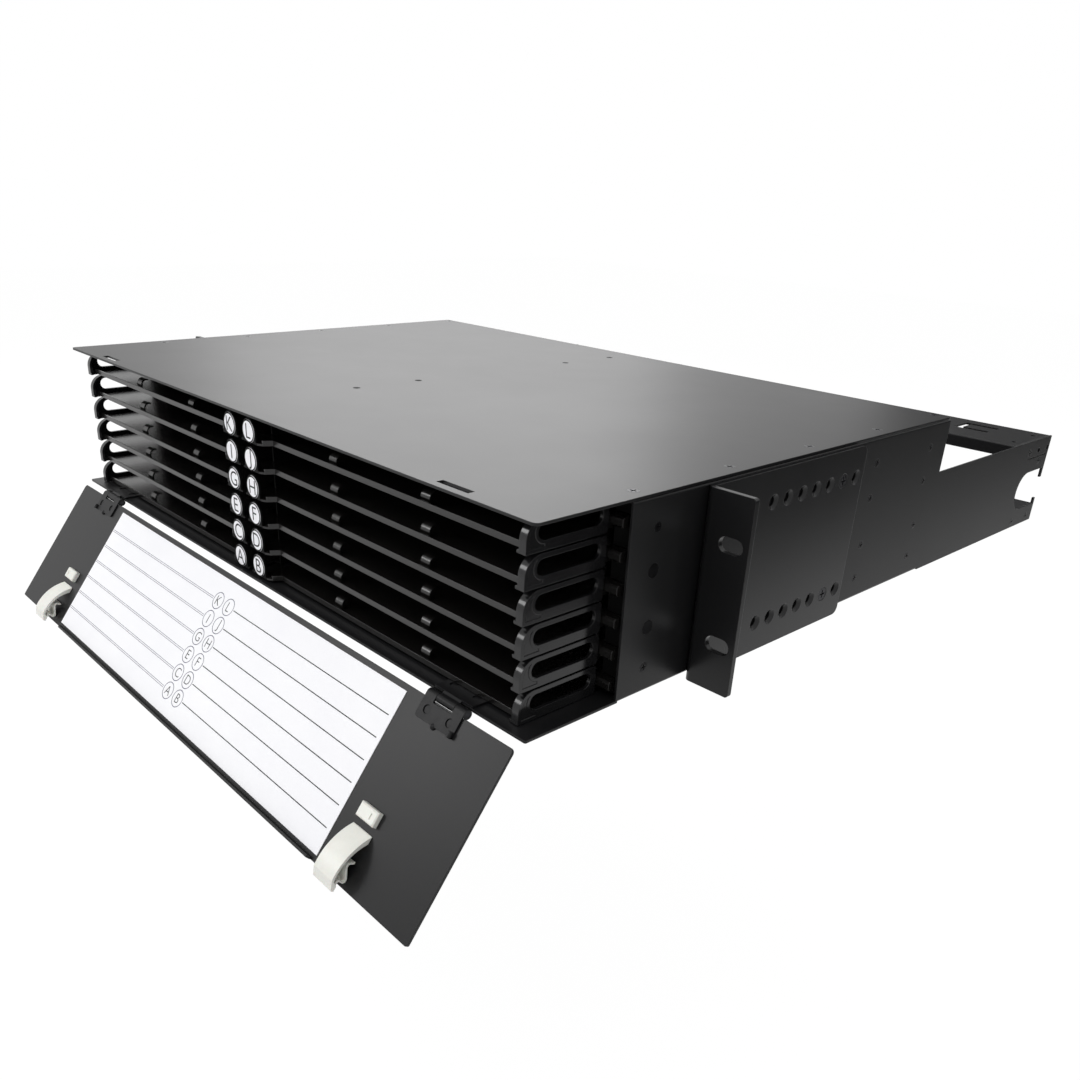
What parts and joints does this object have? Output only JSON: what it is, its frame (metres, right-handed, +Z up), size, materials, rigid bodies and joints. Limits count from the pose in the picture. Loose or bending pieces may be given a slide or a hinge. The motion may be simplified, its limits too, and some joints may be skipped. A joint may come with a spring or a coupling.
{
  "type": "sliding-tray fibre enclosure",
  "caption": "Two-unit rack enclosure for optical fibre with sliding trays, a drop-down latched front door, adjustable rack ears and a rear bay for cable ties.",
  "frame": {"origin": "midway between the four rack slots of the two ears, on the back face of the ears, where they meet the rack rails", "axes": "+X to the right as seen from the front, +Y from the front door to the rear bay, +Z up"},
  "size_m": [0.4826, 0.5276, 0.1577],
  "materials": {
    "black_powder_coat": "satin black powder coat on steel",
    "tray_powder_coat": "satin black powder coat on steel",
    "black_hinge_steel": "smooth black enamel on steel",
    "black_zinc_steel": "black zinc plated steel",
    "black_plastic": "moulded black plastic, satin",
    "white_latch_plastic": "moulded off-white plastic, satin",
    "printed_label": "white film with black print"
  },
  "bodies": {
    "enclosure": {"chassis": "black_powder_coat", "top_cover": "black_powder_coat", "countersunk_screws": "black_zinc_steel", "side_studs": "black_zinc_steel", "divider_rivets": "black_powder_coat", "centre_divider": "black_powder_coat", "rear_panel": "black_powder_coat", "rear_top_bar": "black_powder_coat", "rear_bottom_bar": "black_powder_coat", "rack_ear_right": "black_powder_coat", "rack_ear_left": "black_powder_coat", "side_guide_right": "black_plastic", "side_guide_left": "black_plastic", "centre_guides": "black_plastic", "hinge_base_leaves": "black_hinge_steel", "hinge_pins": "black_zinc_steel", "hinge_base_rivets": "black_zinc_steel"},
    "door": {"door_panel": "black_powder_coat", "index_label": "printed_label", "hinge_door_leaves": "black_hinge_steel", "hinge_door_rivets": "black_zinc_steel", "latch_keepers": "white_latch_plastic"},
    "latch_right": {"latch_right": "white_latch_plastic"},
    "latch_left": {"latch_left": "white_latch_plastic"},
    "tray_unit_right_1": {"tray_right_1": "tray_powder_coat", "cable_guide_right_1": "black_plastic", "index_disc_right_1": "printed_label"},
    "tray_unit_right_2": {"tray_right_2": "tray_powder_coat", "cable_guide_right_2": "black_plastic", "index_disc_right_2": "printed_label"},
    "tray_unit_right_3": {"tray_right_3": "tray_powder_coat", "cable_guide_right_3": "black_plastic", "index_disc_right_3": "printed_label"},
    "tray_unit_right_4": {"tray_right_4": "tray_powder_coat", "cable_guide_right_4": "black_plastic", "index_disc_right_4": "printed_label"},
    "tray_unit_right_5": {"tray_right_5": "tray_powder_coat", "cable_guide_right_5": "black_plastic", "index_disc_right_5": "printed_label"},
    "tray_unit_right_6": {"tray_right_6": "tray_powder_coat", "cable_guide_right_6": "black_plastic", "index_disc_right_6": "printed_label"},
    "tray_unit_left_1": {"tray_left_1": "tray_powder_coat", "cable_guide_left_1": "black_plastic", "index_disc_left_1": "printed_label"},
    "tray_unit_left_2": {"tray_left_2": "tray_powder_coat", "cable_guide_left_2": "black_plastic", "index_disc_left_2": "printed_label"},
    "tray_unit_left_3": {"tray_left_3": "tray_powder_coat", "cable_guide_left_3": "black_plastic", "index_disc_left_3": "printed_label"},
    "tray_unit_left_4": {"tray_left_4": "tray_powder_coat", "cable_guide_left_4": "black_plastic", "index_disc_left_4": "printed_label"},
    "tray_unit_left_5": {"tray_left_5": "tray_powder_coat", "cable_guide_left_5": "black_plastic", "index_disc_left_5": "printed_label"},
    "tray_unit_left_6": {"tray_left_6": "tray_powder_coat", "cable_guide_left_6": "black_plastic", "index_disc_left_6": "printed_label"}
  },
  "joints": [
    {"name": "door_swing", "type": "hinge", "parent": "enclosure", "child": "door", "pos_m": [0, -0.0999, -0.04245], "axis": [1, 0, 0], "range_deg": [-142.7, 0]},
    {"name": "latch_right_press", "type": "slide", "parent": "door", "child": "latch_right", "axis": [0, -0.606, -0.7955], "range_m": [-0.0017, 0], "stiffness_N_per_m": 800},
    {"name": "latch_left_press", "type": "slide", "parent": "door", "child": "latch_left", "axis": [0, -0.606, -0.7955], "range_m": [-0.0017, 0], "stiffness_N_per_m": 800},
    {"name": "tray_right_1_slide", "type": "slide", "parent": "enclosure", "child": "tray_unit_right_1", "axis": [0, -1, 0], "range_m": [0, 0.12]},
    {"name": "tray_right_2_slide", "type": "slide", "parent": "enclosure", "child": "tray_unit_right_2", "axis": [0, -1, 0], "range_m": [0, 0.12]},
    {"name": "tray_right_3_slide", "type": "slide", "parent": "enclosure", "child": "tray_unit_right_3", "axis": [0, -1, 0], "range_m": [0, 0.12]},
    {"name": "tray_right_4_slide", "type": "slide", "parent": "enclosure", "child": "tray_unit_right_4", "axis": [0, -1, 0], "range_m": [0, 0.12]},
    {"name": "tray_right_5_slide", "type": "slide", "parent": "enclosure", "child": "tray_unit_right_5", "axis": [0, -1, 0], "range_m": [0, 0.12]},
    {"name": "tray_right_6_slide", "type": "slide", "parent": "enclosure", "child": "tray_unit_right_6", "axis": [0, -1, 0], "range_m": [0, 0.12]},
    {"name": "tray_left_1_slide", "type": "slide", "parent": "enclosure", "child": "tray_unit_left_1", "axis": [0, -1, 0], "range_m": [0, 0.12]},
    {"name": "tray_left_2_slide", "type": "slide", "parent": "enclosure", "child": "tray_unit_left_2", "axis": [0, -1, 0], "range_m": [0, 0.12]},
    {"name": "tray_left_3_slide", "type": "slide", "parent": "enclosure", "child": "tray_unit_left_3", "axis": [0, -1, 0], "range_m": [0, 0.12]},
    {"name": "tray_left_4_slide", "type": "slide", "parent": "enclosure", "child": "tray_unit_left_4", "axis": [0, -1, 0], "range_m": [0, 0.12]},
    {"name": "tray_left_5_slide", "type": "slide", "parent": "enclosure", "child": "tray_unit_left_5", "axis": [0, -1, 0], "range_m": [0, 0.12]},
    {"name": "tray_left_6_slide", "type": "slide", "parent": "enclosure", "child": "tray_unit_left_6", "axis": [0, -1, 0], "range_m": [0, 0.12]}
  ]
}
